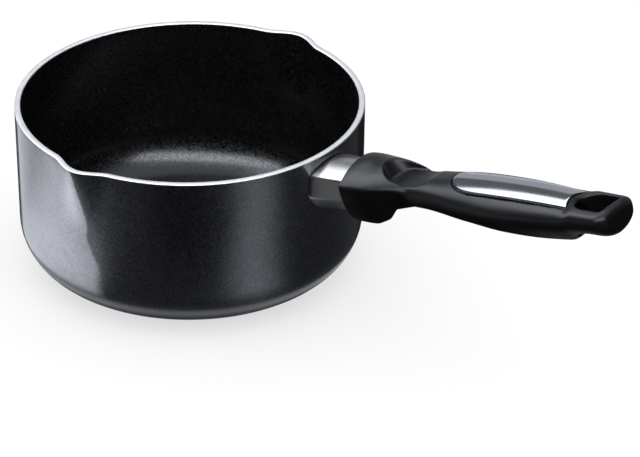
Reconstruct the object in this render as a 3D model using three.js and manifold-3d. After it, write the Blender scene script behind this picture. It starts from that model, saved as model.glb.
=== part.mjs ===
// Saucepan, 16 cm, with two pouring lips and a moulded handle screwed to a welded stud.
// Millimetres, +Z up. The origin is the centre of the base, on the surface that the pan stands on.
// The handle points along +X and the pouring lips along +Y and -Y.
import * as THREE from 'three';
import { mergeVertices } from 'three/addons/utils/BufferGeometryUtils.js';
import Module from 'manifold-3d';

// Clearance between pieces that touch
const clearance = 0.3;

// Pan
const rimRadius = 80;
const panHeight = 80.4;
const wallDraft = 1; // the wall leans out by this much from base corner to rim
const wallThickness = 2.8;
const baseThickness = 4.6;
const baseCorner = 24; // outer radius of the corner between base and wall
const rimChamfer = 0.5;
const panTurnStep = 5; // degrees between wall facets
const cornerSteps = 6; // facets of the base corner

// Pouring lips, pressed outwards at the rim
const lipReach = 4.6;
const lipHalfWidth = 16.5; // along the rim, from the tip to where the lip ends
const lipDepth = 34; // below the rim, to where the lip has faded out
const lipTaper = 0.45; // how much narrower the lip is at its lower end
const lipSteps = 5; // facets on each side of the tip
const lipRows = 4; // facets from the rim down

// Steel disc pressed into the underside
const discMargin = 1; // from the disc's edge to where the base corner starts
const discThickness = 1.4;
const discProud = 0.5; // the disc stands below the pan's own foot by this much
const discHoleRadius = 3;
const discHoleMargin = 8; // from the disc's edge to the outer ring of holes
const discRingPitch = 14; // from ring to ring
const discHolePitch = 15; // from hole to hole round a ring
const discSides = 72;
const discHoleSides = 8;

// Handle axis, which is also the screw's axis
const axisDrop = 16; // below the rim, where the axis meets the pan wall
const axisPitch = 12.5; // degrees above level

// Flame guard between the wall and the handle
const guardLength = 17.3; // from the wall to the handle's face
const guardWidth = 29; // at the wall
const guardTaper = 1.4; // all round, from the wall to the handle's face
const guardCrown = 12.4; // top above the axis
const guardShoulder = 8.6; // crease between top and side, above the axis
const guardTuck = 0.9; // the side leans in by this much up to the crease
const guardWaist = 1.4; // start of the lower chamfer, below the axis
const guardFoot = 18; // width of the flat underside
const guardRoom = 1.5; // free height between the stud and the guard's floor
const guardWall = 2;
const guardSeat = 3; // how far the guard reaches into the handle
const guardDomeSteps = 14; // facets across the top

// Stud welded to the wall, with a threaded bore
const studWall = 3; // round the screw
const studSeat = 5.3; // how far the stud reaches into the handle
const studFlange = 3; // length of the wider foot, which centres the guard
const studBoreStart = 5; // from the wall to the closed end of the bore

// Screw and washers
const screwRadius = 2.5;
const screwHeadRadius = 4;
const screwHead = 3.2;
const screwTipGap = 1.5; // from the bore's closed end to the screw's tip
const driveWidth = 1.2; // cross recess in the head
const driveReach = 5;
const driveDepth = 1.6;
const plainWasher = 1;
const lockWasher = 1.2;
const lockWasherSplit = 0.5; // half width of the split, in radians
const headRecess = 5; // the head lies this far inside the hanging hole's wall

// Handle lengths along the axis, one after the other from the face
const guardLobeRun = 6; // face to the deepest point of the finger guard
const shoulderRun = 8; // to where the finger guard turns up
const heelRun = 7; // to the top of the finger guard's rear slope
const creaseRun = 9; // to where the hood's crease starts to fade
const neckRun = 8; // to the narrowest point
const swellRun = 28; // to the front of the palm
const gripRun = 20; // to the widest point
const palmRun = 18; // to the deepest point of the grip
const stepRun = 15.5; // to the step in the underside
const riseRun = 5; // length of that step
const archRun = 7; // to the top of the arch under the hanging hole
const tailRun = 10.6; // to the end
const tailRound = 3; // rounding of the end's upper and lower edges
const tailCorner = 5.2; // rounding of the end's corners, seen from above
const trimOverrun = 6; // a skin runs this far past where it is trimmed

// Handle sections: half widths, then heights above and below the axis, then the widest line's height
const hoodSideLip = 2.9; // the hood stands out round the guard by this much at the sides
const shoulderHalf = 16.8;
const heelHalf = 15.2;
const neckHalf = 11.2;
const swellHalf = 14.4;
const gripHalf = 16;
const palmHalf = 15.4;
const stepHalf = 14.4;
const tailHalf = 13.4;
const hoodTopLip = 2.5; // the hood stands out above the guard
const shoulderTop = 14;
const heelTop = 13.7;
const neckTop = 9.4;
const swellTop = 11.2;
const gripTop = 10.2;
const palmTop = 8.7;
const stepTop = 7;
const tailTop = 5.7;
const hoodChin = 7; // the hood reaches below the guard
const lobeDepth = 17.2;
const shoulderDepth = 17;
const heelDepth = 13;
const creaseDepth = 7.2;
const neckDepth = 4.8;
const swellDepth = 8.4;
const gripDepth = 11.1;
const palmDepth = 12.1;
const stepDepth = 11.6;
const riseDepth = 8.1;
const archDepth = 6.9;
const tailDepth = 7.8;
const hoodWaist = 7.1;
const heelWaist = 6.1;
const creaseWaist = 5.3;
const neckWaist = 0;
const gripWaist = -0.4;
const tailWaist = -0.6;

// Roundness of those sections: powers of sine and cosine, where 1 is an ellipse
const lowerSide = 0.95;
const creaseSide = 0.2; // added to it at the hood's crease
const keelSide = 0.2; // added to it at the tail
const creaseRise = 0.7; // added to the heights' power at the hood's crease
const flatTopSide = 0.5; // taken from the upper half's widths where the top is flat
const flatTopRise = 0.45; // taken from the upper half's heights there
const creaseEnd = 0.8; // how much of the hood's crease is left where it starts to fade
const neckCrease = 0.1; // and at the neck
const neckFlat = 0.8; // how flat the top is, where the tail's is 1
const swellFlat = 0.15;
const stepFlat = 0.5;

// Finger hollow behind the finger guard: depths of its keel below the axis, and how it slopes up from
// the keel to each side
const hollowStart = 2.3; // from the finger guard's deepest point
const keelRun = 3; // from the shoulder to the middle of the steep rear
const shoulderKeel = 14.7;
const rearKeel = 11.2;
const heelKeel = 7.1;
const creaseKeel = 5.8;
const frontSlope = 0.3;
const shoulderSlope = 0.62;
const heelSlope = 0.1;

// Thumb scoop in the hood: a round-ended recess whose floor runs out into the neck
const scoopStart = 17; // from the face
const scoopRadius = 10.2;
const scoopRamp = 4; // its front wall leans out by this much from the floor to the hood's top
const scoopFloor = 6.7; // above the axis, at its front
const scoopRunOut = 28; // from the scoop's start to where the floor leaves the neck's top

// Hanging hole through the tail
const holeLength = 17;
const holeHalf = 8.5;
const holeCorner = 2;
const holeToEnd = 4.2;

// Polished plate let into the top of the grip
const inlayLength = 61.6;
const inlayHalf = 10.3;
const inlayRearHalf = 8.4;
const inlayNose = 18; // length of the rounded front
const inlayBlunt = 0.66; // how square that front is
const inlayHollow = 2.4; // depth of the hollow rear edge
const inlayToHole = 3.2;
const inlayThickness = 1.5;
const inlayProud = 0.4; // stands above the moulding by this much
const inlayGroove = 1; // open groove round the plate

// Facets
const sectionSteps = 3.6; // length of one facet along the handle
const sectionPoints = 8; // points on a quarter of a section
const hollowSteps = 16; // facets along the finger hollow
const tailSteps = 8; // facets of the end's rounded corners
const tailTurn = 84; // degrees that these corners turn before the end face
const curveSteps = 12; // facets of a curve in a plan outline
const roundSides = 24; // facets of a turned piece
const wallSides = 120; // facets of the wall that trims what stands on it
const weldDistance = 1e-5; // points closer than this are one point

const wasm = await Module();
wasm.setup();

const deg = THREE.MathUtils.degToRad;

// A closed mesh as a solid that can be cut and joined
function solid(geometry) {
  const bare = geometry.clone();
  bare.deleteAttribute('normal');
  bare.deleteAttribute('uv');
  const merged = mergeVertices(bare, weldDistance);
  return new wasm.Manifold(new wasm.Mesh({
    numProp: 3,
    vertProperties: new Float32Array(merged.attributes.position.array),
    triVerts: new Uint32Array(merged.index.array),
  }));
}

// A cut solid back as a three.js geometry
function geometryOf(body) {
  const mesh = body.getMesh();
  const geometry = new THREE.BufferGeometry();
  geometry.setAttribute('position', new THREE.BufferAttribute(mesh.vertProperties, 3));
  geometry.setIndex(new THREE.BufferAttribute(mesh.triVerts, 1));
  geometry.computeVertexNormals();
  return geometry;
}

// Skin over a row of rings with equal counts of points, closed at both ends
function skin(rings) {
  const count = rings[0].length;
  const points = rings.flat();
  const index = [];
  for (let i = 0; i + 1 < rings.length; i += 1) {
    for (let j = 0; j < count; j += 1) {
      const a = i * count + j;
      const b = i * count + (j + 1) % count;
      index.push(a, b, b + count, a, b + count, a + count);
    }
  }
  const ends = [[0, true], [(rings.length - 1) * count, false]];
  for (const [first, start] of ends) {
    const centre = new THREE.Vector3();
    for (let j = 0; j < count; j += 1) centre.addScaledVector(points[first + j], 1 / count);
    points.push(centre);
    for (let j = 0; j < count; j += 1) {
      const a = first + j;
      const b = first + (j + 1) % count;
      if (start) index.push(points.length - 1, b, a);
      else index.push(points.length - 1, a, b);
    }
  }
  const geometry = new THREE.BufferGeometry().setFromPoints(points);
  geometry.setIndex(index);
  geometry.computeVertexNormals();
  return geometry;
}

// Smooth line through points (at, value) that never overshoots them
function smoothLine(points) {
  const rise = [];
  for (let i = 0; i + 1 < points.length; i += 1) {
    rise.push((points[i + 1][1] - points[i][1]) / (points[i + 1][0] - points[i][0]));
  }
  const slope = points.map((point, i) => {
    if (i === 0) return rise[0];
    if (i === rise.length) return rise[i - 1];
    const product = rise[i - 1] * rise[i];
    return product > 0 ? 2 * product / (rise[i - 1] + rise[i]) : 0;
  });
  return (at) => {
    let i = 0;
    while (i < points.length - 2 && at > points[i + 1][0]) i += 1;
    const run = points[i + 1][0] - points[i][0];
    const t = (at - points[i][0]) / run;
    const bend = t * t * (3 - 2 * t);
    return points[i][1] * (1 - bend) + points[i + 1][1] * bend
      + run * t * (1 - t) * (slope[i] * (1 - t) - slope[i + 1] * t);
  };
}

// Turned piece along +X from its half outline, given as (distance along X, radius)
function turned(outline) {
  const profile = outline.map(([along, radius]) => new THREE.Vector2(radius, along));
  const geometry = new THREE.LatheGeometry(profile, roundSides);
  return geometry.rotateZ(-Math.PI / 2);
}

// Plan outline (X along the handle, Y across) raised from one height to another
function raised(shape, low, high) {
  const geometry = new THREE.ExtrudeGeometry(shape, {
    depth: high - low, bevelEnabled: false, curveSegments: curveSteps,
  });
  return geometry.translate(0, 0, low);
}

function piece(name, geometry, colour, roughness, metalness) {
  const material = new THREE.MeshStandardMaterial({ color: colour, roughness, metalness });
  const mesh = new THREE.Mesh(geometry, material);
  mesh.name = name;
  return mesh;
}

// Pan: rings of one turned profile, pushed outwards where the lips are
const footHeight = discProud; // the disc lifts the foot of the pan off the surface
const floorHeight = footHeight + baseThickness;
const wallFoot = rimRadius - wallDraft; // outer radius at the top of the base corner
const footEdge = wallFoot - baseCorner; // outer radius of the flat foot
const discRadius = footEdge - discMargin;

function wallRadius(height) {
  const share = (height - footHeight - baseCorner) / (panHeight - footHeight - baseCorner);
  return wallFoot + wallDraft * share;
}

function lipPush(angle, height) {
  const down = (panHeight - height) / lipDepth;
  if (down >= 1) return 0;
  const halfWidth = lipHalfWidth * (1 - lipTaper * down);
  const off = Math.abs(Math.abs(angle) - Math.PI / 2) * rimRadius / halfWidth;
  if (off >= 1) return 0;
  const fade = (1 - down) * (1 - down) * (1 + 2 * down);
  return lipReach * fade * (1 + Math.cos(Math.PI * off)) / 2;
}

function panAngles() {
  const lipAngle = lipHalfWidth / rimRadius;
  const angles = [];
  for (const side of [-1, 1]) {
    const middle = side * Math.PI / 2;
    for (let i = -lipSteps; i <= lipSteps; i += 1) angles.push(middle + lipAngle * i / lipSteps);
    const span = Math.PI - 2 * lipAngle;
    const steps = Math.ceil(span / deg(panTurnStep));
    for (let i = 1; i < steps; i += 1) angles.push(middle + lipAngle + span * i / steps);
  }
  return angles.map((angle) => (angle > Math.PI ? angle - 2 * Math.PI : angle));
}

function panProfile() {
  const innerCorner = baseCorner - wallThickness;
  const seatCeiling = discThickness + clearance;
  const profile = [
    [discRadius + clearance, seatCeiling],
    [discRadius + clearance, footHeight],
  ];
  for (let i = 0; i <= cornerSteps; i += 1) {
    const turn = i / cornerSteps * Math.PI / 2;
    const out = footEdge + baseCorner * Math.sin(turn);
    profile.push([out, footHeight + baseCorner * (1 - Math.cos(turn))]);
  }
  const wallHeights = [];
  for (let i = 0; i < lipRows; i += 1) wallHeights.push(panHeight - lipDepth * (1 - i / lipRows));
  for (const height of wallHeights) profile.push([wallRadius(height), height]);
  profile.push([rimRadius, panHeight - rimChamfer]);
  profile.push([rimRadius - rimChamfer, panHeight]);
  profile.push([rimRadius - wallThickness + rimChamfer, panHeight]);
  profile.push([rimRadius - wallThickness, panHeight - rimChamfer]);
  for (const height of wallHeights.toReversed()) {
    profile.push([wallRadius(height) - wallThickness, height]);
  }
  for (let i = cornerSteps; i >= 0; i -= 1) {
    const turn = i / cornerSteps * Math.PI / 2;
    const out = footEdge + innerCorner * Math.sin(turn);
    profile.push([out, floorHeight + innerCorner * (1 - Math.cos(turn))]);
  }
  return profile;
}

function panBody() {
  const angles = panAngles();
  const rings = panProfile().map(([radius, height]) => angles.map((angle) => {
    const out = radius + lipPush(angle, height);
    return new THREE.Vector3(out * Math.cos(angle), out * Math.sin(angle), height);
  }));
  return skin(rings);
}

// Base disc with rings of holes that key it into the pan
function baseDisc() {
  const shape = new THREE.Shape().absarc(0, 0, discRadius, 0, 2 * Math.PI);
  const outline = new THREE.Shape(shape.getSpacedPoints(discSides).slice(0, -1));
  for (let ring = discRadius - discHoleMargin; ring > discRingPitch; ring -= discRingPitch) {
    const holes = Math.round(2 * Math.PI * ring / discHolePitch);
    for (let i = 0; i < holes; i += 1) {
      const angle = 2 * Math.PI * i / holes;
      const hole = new THREE.Path();
      hole.absarc(ring * Math.cos(angle), ring * Math.sin(angle), discHoleRadius, 0, 2 * Math.PI);
      outline.holes.push(new THREE.Path(hole.getSpacedPoints(discHoleSides).slice(0, -1)));
    }
  }
  return new THREE.ExtrudeGeometry(outline, { depth: discThickness, bevelEnabled: false });
}

// Frame of the handle: local X runs out along the axis from the wall, local Z up across it
const handleFrame = new THREE.Group();
handleFrame.position.set(rimRadius, 0, panHeight - axisDrop);
handleFrame.rotation.y = -deg(axisPitch);
handleFrame.updateMatrix();
const intoFrame = handleFrame.matrix.clone().invert();

const faceAt = guardLength / Math.cos(deg(axisPitch)); // the handle's face, on the axis
const boreRadius = screwRadius + clearance;
const studRadius = screwRadius + studWall;
const flangeRadius = studRadius + guardRoom;
const guardDrop = flangeRadius + clearance + guardWall; // flat underside, below the axis
const cutSize = 4 * (rimRadius + panHeight); // larger than anything that it cuts

// The pan's outer wall grown by the clearance, in the handle's frame
function wallCutter() {
  const low = footHeight + baseCorner;
  const height = panHeight - low;
  const cone = new THREE.CylinderGeometry(
    rimRadius + clearance, wallFoot + clearance, height, wallSides,
  );
  cone.rotateX(Math.PI / 2);
  cone.translate(0, 0, low + height / 2);
  return solid(cone.applyMatrix4(intoFrame));
}

// Everything on the pan's side of an upright plane that lies so far from the wall
function panSideOf(distance) {
  const box = new THREE.BoxGeometry(cutSize, cutSize, cutSize);
  box.translate(rimRadius + distance - cutSize / 2, 0, 0);
  return solid(box.applyMatrix4(intoFrame));
}

// Flame guard section at a distance along the axis, grown all round
function guardRing(along, grow) {
  const out = grow - guardTaper * along / faceAt;
  const half = guardWidth / 2 + out;
  const foot = guardFoot / 2 + out;
  const shoulder = guardShoulder + out;
  const domeControl = shoulder + 2 * (guardCrown - guardShoulder);
  const shape = new THREE.Shape();
  shape.moveTo(foot, -guardDrop - grow);
  shape.lineTo(half, -guardWaist);
  shape.lineTo(half - guardTuck, shoulder);
  shape.quadraticCurveTo(0, domeControl, guardTuck - half, shoulder);
  shape.lineTo(-half, -guardWaist);
  shape.lineTo(-foot, -guardDrop - grow);
  const points = shape.getPoints(guardDomeSteps);
  return points.map((point) => new THREE.Vector3(along, point.x, point.y));
}

function guardSkin(grow) {
  const end = faceAt + guardSeat + trimOverrun;
  return solid(skin([guardRing(-trimOverrun, grow), guardRing(end, grow)]));
}

function flameGuard() {
  const body = guardSkin(0).subtract(guardSkin(-guardWall)).subtract(wallCutter());
  return geometryOf(body.intersect(panSideOf(guardLength + guardSeat)));
}

// Stud with its closed threaded bore
const studLength = faceAt + studSeat;

function handleStud() {
  const body = solid(turned([
    [-studFlange, 0],
    [-studFlange, flangeRadius],
    [studFlange, flangeRadius],
    [studFlange, studRadius],
    [studLength, studRadius],
    [studLength, boreRadius],
    [studBoreStart, boreRadius],
    [studBoreStart, 0],
  ]));
  return geometryOf(body.subtract(wallCutter()));
}

// Handle stations along the axis from the wall
const lobeAt = faceAt + guardLobeRun;
const shoulderAt = lobeAt + shoulderRun;
const heelAt = shoulderAt + heelRun;
const creaseAt = heelAt + creaseRun;
const neckAt = creaseAt + neckRun;
const swellAt = neckAt + swellRun;
const gripAt = swellAt + gripRun;
const palmAt = gripAt + palmRun;
const stepAt = palmAt + stepRun;
const riseAt = stepAt + riseRun;
const archAt = riseAt + archRun;
const endAt = archAt + tailRun;
const startAt = faceAt - trimOverrun;

// The hood's section follows the guard that it covers
const hoodHalf = guardWidth / 2 + hoodSideLip;
const hoodTop = guardCrown + hoodTopLip;
const hoodDepth = guardDrop + hoodChin;

const halfLine = smoothLine([
  [startAt, hoodHalf], [lobeAt, hoodHalf], [shoulderAt, shoulderHalf], [heelAt, heelHalf],
  [neckAt, neckHalf], [swellAt, swellHalf], [gripAt, gripHalf], [palmAt, palmHalf],
  [stepAt, stepHalf], [endAt, tailHalf],
]);
const topLine = smoothLine([
  [startAt, hoodTop], [lobeAt, hoodTop], [shoulderAt, shoulderTop], [heelAt, heelTop],
  [neckAt, neckTop], [swellAt, swellTop], [gripAt, gripTop], [palmAt, palmTop],
  [stepAt, stepTop], [endAt, tailTop],
]);
const depthLine = smoothLine([
  [startAt, hoodDepth], [lobeAt, lobeDepth], [shoulderAt, shoulderDepth], [heelAt, heelDepth],
  [creaseAt, creaseDepth], [neckAt, neckDepth], [swellAt, swellDepth], [gripAt, gripDepth],
  [palmAt, palmDepth], [stepAt, stepDepth], [riseAt, riseDepth], [archAt, archDepth],
  [endAt, tailDepth],
]);
const waistLine = smoothLine([
  [startAt, hoodWaist], [heelAt, heelWaist], [creaseAt, creaseWaist], [neckAt, neckWaist],
  [gripAt, gripWaist], [endAt, tailWaist],
]);
// 1 where the section has the hood's sharp waist and keel, 0 where it is round
const creaseLine = smoothLine([
  [startAt, 1], [creaseAt, creaseEnd], [neckAt, neckCrease], [swellAt, 0], [endAt, 0],
]);
// 1 where the section has the tail's flat top, 0 where it is round
const flatLine = smoothLine([
  [startAt, 0], [heelAt, 0], [neckAt, neckFlat], [swellAt, swellFlat], [gripAt, 0],
  [stepAt, stepFlat], [riseAt, 1], [endAt, 1],
]);

// How far a rounding of the tail's end draws in at a distance along the axis
function drawnIn(along, radius) {
  const into = Math.max(0, along - (endAt - radius)) / radius;
  return radius * (1 - Math.sqrt(1 - into * into));
}

// Handle section at a distance along the axis, grown all round
function handleRing(along, grow) {
  const crease = creaseLine(along);
  const flat = flatLine(along);
  const inset = drawnIn(along, tailRound) - grow;
  const half = halfLine(along) - drawnIn(along, tailCorner) + grow;
  const waist = waistLine(along);
  const rise = topLine(along) - waist - inset;
  const fall = depthLine(along) + waist - inset;
  const quarter = (i) => i / sectionPoints * Math.PI / 2;
  const lower = (turn) => [
    half * Math.cos(turn) ** (lowerSide + creaseSide * crease + keelSide * flat),
    waist - fall * Math.sin(turn) ** (1 + creaseRise * crease),
  ];
  const upper = (turn) => [
    half * Math.cos(turn) ** (1 - flatTopSide * flat),
    waist + rise * Math.sin(turn) ** (1 + creaseRise * crease - flatTopRise * flat),
  ];
  const side = [];
  for (let i = sectionPoints; i > 0; i -= 1) side.push(lower(quarter(i)));
  for (let i = 0; i < sectionPoints; i += 1) side.push(upper(quarter(i)));
  const other = side.slice(1).map(([y, z]) => [-y, z]).toReversed();
  const top = [0, waist + rise];
  side[0][0] = 0;
  return [...side, top, ...other].map(([y, z]) => new THREE.Vector3(along, y, z));
}

function handleSkin(grow) {
  const straight = endAt - tailCorner - startAt;
  const steps = Math.round(straight / sectionSteps);
  const rings = [];
  for (let i = 0; i < steps; i += 1) rings.push(handleRing(startAt + straight * i / steps, grow));
  for (let i = 0; i <= tailSteps; i += 1) {
    const into = tailCorner * Math.sin(deg(tailTurn) * i / tailSteps);
    rings.push(handleRing(endAt - tailCorner + into, grow));
  }
  return solid(skin(rings));
}

// A side outline along and above the axis, run right across the handle
function across(outline) {
  const width = 4 * hoodHalf;
  const geometry = new THREE.ExtrudeGeometry(outline, {
    depth: width, bevelEnabled: false, curveSegments: curveSteps,
  });
  geometry.rotateX(Math.PI / 2);
  return solid(geometry.translate(0, width / 2, 0));
}

// Scoop: a round-ended plan outline, kept above a floor that rises to the neck's top
const aboveGrip = hoodTop + scoopRadius; // higher than any of the handle's top
const scoopFront = faceAt + scoopStart;
const scoopExit = scoopFront + scoopRunOut;

function scoopRing(height) {
  const reach = scoopRadius - scoopRamp * (heelTop - height) / (heelTop - scoopFloor);
  const plan = new THREE.Shape();
  plan.moveTo(scoopExit, -scoopRadius);
  plan.lineTo(scoopExit, scoopRadius);
  plan.absellipse(scoopFront + scoopRadius, 0, reach, scoopRadius, Math.PI / 2, 3 * Math.PI / 2, false);
  return plan.getPoints(curveSteps).map((point) => new THREE.Vector3(point.x, point.y, height));
}

function scoopCutter() {
  const level = scoopFront + 2 * scoopRadius; // the floor stays level to about here
  const leave = topLine(scoopExit) + clearance;
  const floor = new THREE.Shape();
  floor.moveTo(scoopFront - clearance, scoopFloor);
  floor.bezierCurveTo(level, scoopFloor, (level + scoopExit) / 2, scoopFloor, scoopExit, leave);
  floor.lineTo(scoopExit, aboveGrip);
  floor.lineTo(scoopFront - clearance, aboveGrip);
  return solid(skin([scoopRing(scoopFloor - clearance), scoopRing(aboveGrip)])).intersect(across(floor));
}

// Finger hollow: everything below a keel line that slopes up to both sides
function hollowCutter() {
  const start = lobeAt + hollowStart;
  const end = neckAt + hollowStart;
  const side = 2 * hoodHalf; // wider and lower than any of the handle
  const below = -2 * lobeDepth;
  const keel = smoothLine([
    [start, -lobeDepth], [shoulderAt, -shoulderKeel], [shoulderAt + keelRun, -rearKeel],
    [heelAt, -heelKeel], [creaseAt, -creaseKeel], [end, -neckDepth - clearance],
  ]);
  const slope = smoothLine([
    [start, frontSlope], [shoulderAt, shoulderSlope], [heelAt, heelSlope], [end, 0],
  ]);
  const rings = [];
  for (let i = 0; i <= hollowSteps; i += 1) {
    const along = start + (end - start) * i / hollowSteps;
    const middle = keel(along);
    const edge = middle + slope(along) * side;
    const outline = [[-side, below], [side, below], [side, edge], [0, middle], [-side, edge]];
    rings.push(outline.map(([y, z]) => new THREE.Vector3(along, y, z)));
  }
  return solid(skin(rings));
}

// Hanging hole: round towards the pan, straight towards the end
const holeRear = endAt - holeToEnd;
const holeFront = holeRear - holeLength;

function holeCutter() {
  const plan = new THREE.Shape();
  plan.moveTo(holeRear, 0);
  plan.lineTo(holeRear, holeHalf - holeCorner);
  plan.quadraticCurveTo(holeRear, holeHalf, holeRear - holeCorner, holeHalf);
  plan.lineTo(holeFront + holeHalf, holeHalf);
  plan.absarc(holeFront + holeHalf, 0, holeHalf, Math.PI / 2, 3 * Math.PI / 2, false);
  plan.lineTo(holeRear - holeCorner, -holeHalf);
  plan.quadraticCurveTo(holeRear, -holeHalf, holeRear, holeCorner - holeHalf);
  return solid(raised(plan, -stepDepth - holeLength, stepTop + holeLength));
}

// Plate outline, grown all round
function inlayOutline(grow) {
  const rear = holeFront - inlayToHole + grow;
  const tip = holeFront - inlayToHole - inlayLength - grow;
  const half = inlayHalf + grow;
  const rearHalf = inlayRearHalf + grow;
  const noseEnd = tip + inlayNose;
  const swell = (rear + noseEnd) / 2;
  const bend = noseEnd - inlayNose * inlayBlunt;
  const plan = new THREE.Shape();
  plan.moveTo(rear + inlayHollow, -rearHalf);
  plan.quadraticCurveTo(rear - inlayHollow, 0, rear + inlayHollow, rearHalf);
  plan.quadraticCurveTo(swell, half, noseEnd, half);
  plan.bezierCurveTo(bend, half, tip, half * inlayBlunt, tip, 0);
  plan.bezierCurveTo(tip, -half * inlayBlunt, bend, -half, noseEnd, -half);
  plan.quadraticCurveTo(swell, -half, rear + inlayHollow, -rearHalf);
  return plan;
}

const inlayBury = inlayThickness - inlayProud; // how deep the plate lies in the moulding

function inlayPlate() {
  const block = solid(raised(inlayOutline(0), 0, aboveGrip));
  return geometryOf(block.intersect(handleSkin(inlayProud)).subtract(handleSkin(-inlayBury)));
}

function inlayRecess() {
  const block = solid(raised(inlayOutline(inlayGroove), 0, aboveGrip));
  return block.subtract(handleSkin(-inlayBury - clearance));
}

// Screw, washers and the bores that they need, from the seat inside the handle outwards
const washerStack = plainWasher + lockWasher + 3 * clearance;
const seatAt = holeFront - headRecess - screwHead - washerStack;
const plainAt = seatAt + clearance;
const lockAt = plainAt + plainWasher + clearance;
const headAt = lockAt + lockWasher + clearance;

function handleScrew() {
  const tip = studBoreStart + screwTipGap;
  const body = solid(turned([
    [tip, 0],
    [tip, screwRadius],
    [headAt, screwRadius],
    [headAt, screwHeadRadius],
    [headAt + screwHead - driveWidth / 2, screwHeadRadius],
    [headAt + screwHead, screwHeadRadius - driveWidth / 2],
    [headAt + screwHead, 0],
  ]));
  const cutAt = headAt + screwHead;
  const upright = new THREE.BoxGeometry(2 * driveDepth, driveWidth, driveReach).translate(cutAt, 0, 0);
  const level = new THREE.BoxGeometry(2 * driveDepth, driveReach, driveWidth).translate(cutAt, 0, 0);
  return geometryOf(body.subtract(solid(upright)).subtract(solid(level)));
}

// Flat ring round the axis, with or without a split
function washer(along, thickness, split) {
  const shape = new THREE.Shape();
  shape.absarc(0, 0, screwHeadRadius, split, 2 * Math.PI - split, false);
  if (split > 0) {
    shape.absarc(0, 0, boreRadius, 2 * Math.PI - split, split, true);
  } else {
    shape.holes.push(new THREE.Path().absarc(0, 0, boreRadius, 0, 2 * Math.PI, true));
  }
  const geometry = new THREE.ExtrudeGeometry(shape, {
    depth: thickness, bevelEnabled: false, curveSegments: roundSides / 2,
  });
  geometry.rotateY(Math.PI / 2);
  return geometry.translate(along, 0, 0);
}

function boreCutter(start, end, radius) {
  return solid(turned([[start, 0], [start, radius], [end, radius], [end, 0]]));
}

function handleGrip() {
  const headBore = screwHeadRadius + clearance;
  const seatTrim = panSideOf(guardLength + guardSeat + clearance);
  return geometryOf(handleSkin(0)
    .subtract(panSideOf(guardLength))
    .subtract(guardSkin(clearance).intersect(seatTrim))
    .subtract(boreCutter(0, studLength + clearance, studRadius + clearance))
    .subtract(boreCutter(0, seatAt + clearance, boreRadius))
    .subtract(boreCutter(seatAt, holeFront + holeHalf, headBore))
    .subtract(scoopCutter())
    .subtract(hollowCutter())
    .subtract(inlayRecess())
    .subtract(holeCutter()));
}

const saucepan = new THREE.Group();
saucepan.name = 'saucepan';
saucepan.add(piece('pan_body', panBody(), 0x3c3d42, 0.35, 0.6));
saucepan.add(piece('base_disc', baseDisc(), 0xb4b4b2, 0.4, 1));
handleFrame.add(piece('handle_stud', handleStud(), 0xb0b2b4, 0.5, 1));
handleFrame.add(piece('flame_guard', flameGuard(), 0xdcdde0, 0.15, 1));
handleFrame.add(piece('handle_grip', handleGrip(), 0x1c1c1f, 0.5, 0));
handleFrame.add(piece('inlay_plate', inlayPlate(), 0xd6d8dc, 0.12, 1));
handleFrame.add(piece('handle_screw', handleScrew(), 0x9a9c9e, 0.35, 1));
handleFrame.add(piece('plain_washer', washer(plainAt, plainWasher, 0), 0xa6a8aa, 0.4, 1));
handleFrame.add(piece('lock_washer', washer(lockAt, lockWasher, lockWasherSplit), 0x8a8c8e, 0.4, 1));
saucepan.add(handleFrame);

export default saucepan;
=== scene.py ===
import math
import bpy
from mathutils import Matrix, Quaternion, Vector


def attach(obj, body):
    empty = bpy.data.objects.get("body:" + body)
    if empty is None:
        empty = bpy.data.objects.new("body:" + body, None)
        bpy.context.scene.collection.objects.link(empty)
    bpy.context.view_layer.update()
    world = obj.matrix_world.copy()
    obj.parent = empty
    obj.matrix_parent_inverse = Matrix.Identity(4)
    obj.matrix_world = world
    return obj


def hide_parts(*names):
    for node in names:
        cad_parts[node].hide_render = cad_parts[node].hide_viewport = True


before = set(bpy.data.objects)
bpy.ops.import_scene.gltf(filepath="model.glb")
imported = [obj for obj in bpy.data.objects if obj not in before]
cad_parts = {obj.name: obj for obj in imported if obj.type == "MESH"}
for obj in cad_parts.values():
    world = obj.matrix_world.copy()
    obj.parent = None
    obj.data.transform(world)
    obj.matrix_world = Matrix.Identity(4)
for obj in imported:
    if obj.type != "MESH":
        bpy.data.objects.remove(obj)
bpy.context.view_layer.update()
mm = 0.001 # every size below is in millimetres
weldGap = 0.002 # points closer than this become one
print("saucepan: packed frame loaded")


# Small helpers for working as by hand

def dropSelection():
    if bpy.context.mode != "OBJECT":
        bpy.ops.object.mode_set(mode="OBJECT")
    bpy.ops.object.select_all(action="DESELECT")


def justAdded(name):
    obj = bpy.context.object
    obj.name = name
    return obj


def pickUp(obj):
    dropSelection()
    obj.select_set(True)
    bpy.context.view_layer.objects.active = obj


def startEditing(obj):
    pickUp(obj)
    bpy.ops.object.mode_set(mode="EDIT")
    bpy.ops.mesh.select_all(action="SELECT")


def stopEditing():
    bpy.ops.object.mode_set(mode="OBJECT")


def closeMesh(capped=True): # weld what is being edited, fill its open ends, turn its faces outwards
    bpy.ops.mesh.select_all(action="SELECT")
    bpy.ops.mesh.remove_doubles(threshold=weldGap * mm)
    if capped:
        bpy.ops.mesh.fill_holes(sides=0)
        bpy.ops.mesh.select_all(action="SELECT")
    bpy.ops.mesh.normals_make_consistent(inside=False)
    stopEditing()


def applyModifier(obj, kind, **settings):
    pickUp(obj)
    modifier = obj.modifiers.new(kind.lower(), kind)
    for key, value in settings.items():
        setattr(modifier, key, value)
    bpy.ops.object.modifier_apply(modifier=modifier.name)


def cutAway(obj, cutter, operation="DIFFERENCE"):
    applyModifier(obj, "BOOLEAN", operation=operation, solver="EXACT", object=cutter)
    bpy.data.objects.remove(cutter)


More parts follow.
